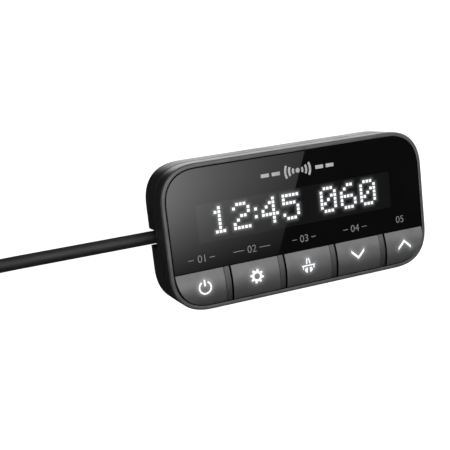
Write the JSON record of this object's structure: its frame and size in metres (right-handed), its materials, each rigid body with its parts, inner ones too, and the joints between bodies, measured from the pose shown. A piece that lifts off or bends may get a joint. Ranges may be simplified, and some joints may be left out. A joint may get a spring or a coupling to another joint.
{
  "type": "radar detector",
  "caption": "Slim remote display and control head for a radar detector: glossy dot-matrix display over a row of backlit push keys, with a coiled lead.",
  "frame": {"origin": "centre of the adhesive pad's rear face, on the surface the unit is stuck to", "axes": "+X along the width, +Y to the top edge of the face, +Z out of the display"},
  "size_m": [0.2, 0.056, 0.0233],
  "materials": {
    "cover_plastic": "fine spark texture, satin black",
    "housing_plastic": "fine satin black, slightly glossier on the rim",
    "lens_black": "piano black, high gloss",
    "window_tint": "smoke tinted, high gloss",
    "panel_glass": "dark display panel",
    "white_plastic": "moulded white",
    "gold": "gold flash plating",
    "board_green": "green solder mask",
    "chip_black": "moulded epoxy",
    "capacitor_can": "drawn can",
    "ivory_plastic": "moulded ivory",
    "wire_insulation": "coloured insulation",
    "black_rubber": "matte moulded rubber",
    "pad_foam": "foam tape",
    "black_steel": "black zinc",
    "plain_steel": "zinc plated",
    "key_plastic": "soft satin black, laser marked",
    "switch_plastic": "moulded black",
    "led_resin": "clear-white resin",
    "cord_jacket": "soft PVC, satin black",
    "tie_band": "silicone band",
    "plug_clear": "clear polycarbonate"
  },
  "bodies": {
    "housing": {"rear_cover": "cover_plastic", "front_housing": "housing_plastic", "front_lens": "lens_black", "display_window": "window_tint", "display_panel": "panel_glass", "display_frame": "white_plastic", "display_pins": "gold", "main_pcb": "board_green", "controller_chip": "chip_black", "driver_chip": "chip_black", "voltage_regulator": "chip_black", "capacitors": "capacitor_can", "cable_socket": "ivory_plastic", "cable_connector": "ivory_plastic", "inner_wires": "wire_insulation", "strain_relief": "black_rubber", "adhesive_pad": "pad_foam", "cover_screws": "black_steel", "pcb_screws": "plain_steel", "switch_menu": "switch_plastic", "switch_dim": "switch_plastic", "switch_road": "switch_plastic", "switch_down": "switch_plastic", "switch_up": "switch_plastic", "led_menu": "led_resin", "led_dim": "led_resin", "led_road": "led_resin", "led_down": "led_resin", "led_up": "led_resin", "cord_lead": "cord_jacket", "cord_coil": "cord_jacket", "cord_tail": "cord_jacket", "cord_tie": "tie_band", "plug_body": "plug_clear", "plug_contacts": "gold", "plug_boot": "black_rubber"},
    "key_menu_body": {"key_menu": "key_plastic", "plunger_menu": "ivory_plastic"},
    "key_dim_body": {"key_dim": "key_plastic", "plunger_dim": "ivory_plastic"},
    "key_road_body": {"key_road": "key_plastic", "plunger_road": "ivory_plastic"},
    "key_down_body": {"key_down": "key_plastic", "plunger_down": "ivory_plastic"},
    "key_up_body": {"key_up": "key_plastic", "plunger_up": "ivory_plastic"}
  },
  "joints": [
    {"name": "key_menu_press", "type": "slide", "parent": "housing", "child": "key_menu_body", "axis": [0, 0, -1], "range_m": [0, 0.0005], "stiffness_N_per_m": 400},
    {"name": "key_dim_press", "type": "slide", "parent": "housing", "child": "key_dim_body", "axis": [0, 0, -1], "range_m": [0, 0.0005], "stiffness_N_per_m": 400},
    {"name": "key_road_press", "type": "slide", "parent": "housing", "child": "key_road_body", "axis": [0, 0, -1], "range_m": [0, 0.0005], "stiffness_N_per_m": 400},
    {"name": "key_down_press", "type": "slide", "parent": "housing", "child": "key_down_body", "axis": [0, 0, -1], "range_m": [0, 0.0005], "stiffness_N_per_m": 400},
    {"name": "key_up_press", "type": "slide", "parent": "housing", "child": "key_up_body", "axis": [0, 0, -1], "range_m": [0, 0.0005], "stiffness_N_per_m": 400}
  ]
}
